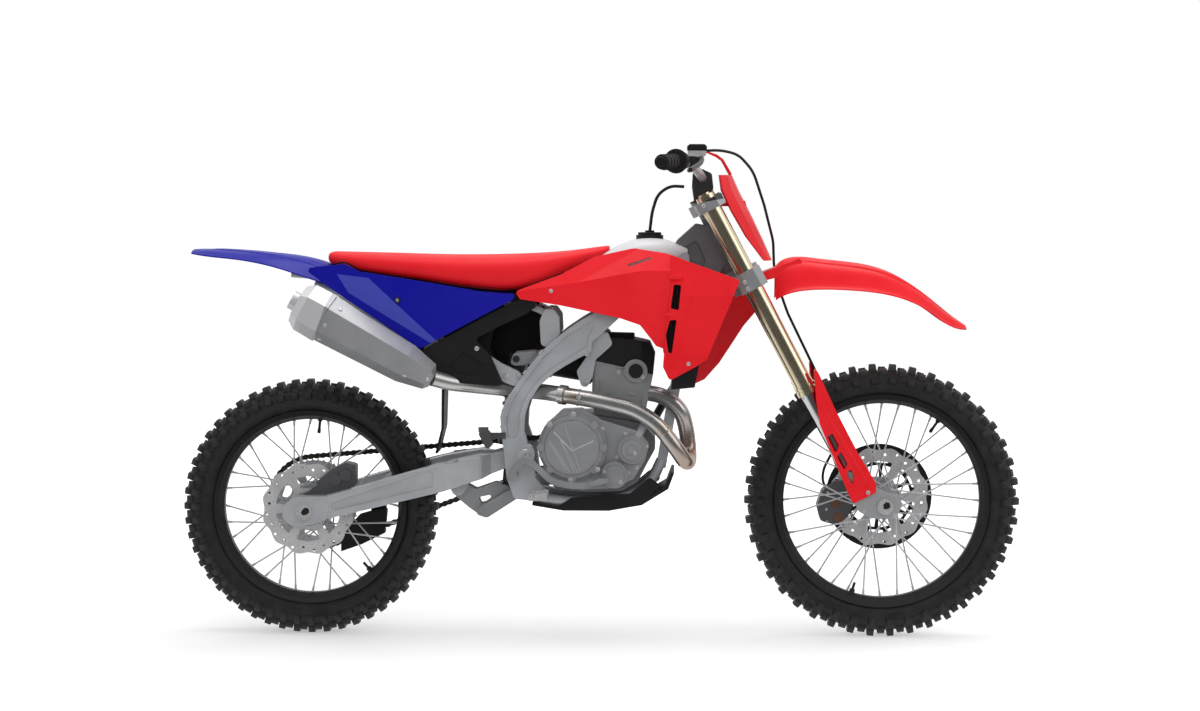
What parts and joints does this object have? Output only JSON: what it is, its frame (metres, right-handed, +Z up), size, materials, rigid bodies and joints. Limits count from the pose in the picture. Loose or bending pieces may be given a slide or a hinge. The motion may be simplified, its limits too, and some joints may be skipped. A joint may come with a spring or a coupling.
{
  "type": "motocross bike",
  "caption": "Full-size motocross bike with telescopic fork, steering, spoked wheels on knobbly tyres, open engine, exhaust and moulded bodywork.",
  "frame": {"origin": "the rider's place on top of the seat, on the middle plane", "axes": "+X forward, +Y to the bike's left, +Z up"},
  "size_m": [2.161, 0.8358, 1.266],
  "materials": {
    "frame_silver": "satin silver aluminium frame",
    "swingarm_silver": "satin aluminium",
    "shock_steel": "coated spring on a steel damper",
    "linkage_metal": "cast aluminium",
    "engine_grey": "cast grey aluminium",
    "cover_grey": "cast grey covers",
    "head_cover_black": "black cover",
    "header_steel": "stainless tube with heat tint",
    "muffler_alloy": "satin alloy can",
    "radiator_alloy": "bare radiator with black louvres",
    "seat_cover": "red vinyl cover",
    "tank_silver": "silver tank",
    "cap_black": "black cap",
    "red_plastic": "red moulded plastic",
    "plate_red": "red moulded plastic",
    "blue_plastic": "blue moulded plastic",
    "black_plastic": "black moulded plastic",
    "skid_plastic": "black moulded plastic",
    "flap_rubber": "black rubber flap",
    "peg_steel": "steel pegs",
    "pedal_alloy": "forged alloy",
    "guide_plastic": "black plastic guide",
    "chain_steel": "steel chain",
    "sprocket_steel": "steel sprocket",
    "sprocket_alloy": "alloy sprocket",
    "caliper_metal": "cast caliper",
    "axle_steel": "steel axle",
    "clamp_alloy": "machined clamps",
    "fork_gold": "gold anodised tubes",
    "slider_chrome": "chromed tubes and alloy feet",
    "guard_black": "black guard",
    "bar_silver": "alloy bar",
    "grip_rubber": "grey black grips",
    "lever_alloy": "alloy levers",
    "hose_rubber": "black hose",
    "tyre_rubber": "black tyre rubber",
    "rim_black": "black rim",
    "hub_alloy": "alloy hub and spokes",
    "disc_steel": "steel disc"
  },
  "bodies": {
    "chassis": {"airbox": "black_plastic", "chain": "chain_steel", "chain_guides": "guide_plastic", "crankcase": "engine_grey", "cylinder": "engine_grey", "drive_sprocket": "sprocket_steel", "engine_covers": "cover_grey", "exhaust_header": "header_steel", "foot_controls": "pedal_alloy", "footpegs": "peg_steel", "frame_cradle": "frame_silver", "frame_head": "frame_silver", "frame_spars": "frame_silver", "fuel_cap": "cap_black", "fuel_tank": "tank_silver", "head_cover": "head_cover_black", "mud_flap": "flap_rubber", "muffler": "muffler_alloy", "radiators": "radiator_alloy", "rear_axle": "axle_steel", "rear_brake": "caliper_metal", "rear_fender": "blue_plastic", "rear_shock": "shock_steel", "seat": "seat_cover", "shock_linkage": "linkage_metal", "shrouds": "red_plastic", "side_panels": "blue_plastic", "skid_plate": "skid_plastic", "subframe": "frame_silver", "swingarm": "swingarm_silver"},
    "steering": {"bar_levers": "lever_alloy", "disc_guard": "guard_black", "fork_guards": "red_plastic", "fork_sliders": "slider_chrome", "fork_tubes": "fork_gold", "front_axle": "axle_steel", "front_brake_hose": "hose_rubber", "front_caliper": "caliper_metal", "front_fender": "red_plastic", "grips": "grip_rubber", "handlebar": "bar_silver", "lower_clamp": "clamp_alloy", "number_plate": "plate_red", "throttle_housing": "guard_black", "upper_clamp": "clamp_alloy"},
    "front_wheel": {"front_disc": "disc_steel", "front_hub": "hub_alloy", "front_rim": "rim_black", "front_tyre": "tyre_rubber"},
    "rear_wheel": {"rear_disc": "disc_steel", "rear_hub": "hub_alloy", "rear_rim": "rim_black", "rear_sprocket": "sprocket_alloy", "rear_tyre": "tyre_rubber"}
  },
  "joints": [
    {"name": "steering", "type": "hinge", "parent": "chassis", "child": "steering", "pos_m": [0.616, 0, 0.015], "axis": [-0.4686, 0, 0.8834], "range_deg": [-43, 43]},
    {"name": "front_wheel_spin", "type": "hinge", "parent": "steering", "child": "front_wheel", "pos_m": [1.027, 0, -0.632], "axis": [0, 1, 0], "continuous": true},
    {"name": "rear_wheel_spin", "type": "hinge", "parent": "chassis", "child": "rear_wheel", "pos_m": [-0.45, 0, -0.654], "axis": [0, 1, 0], "continuous": true}
  ]
}
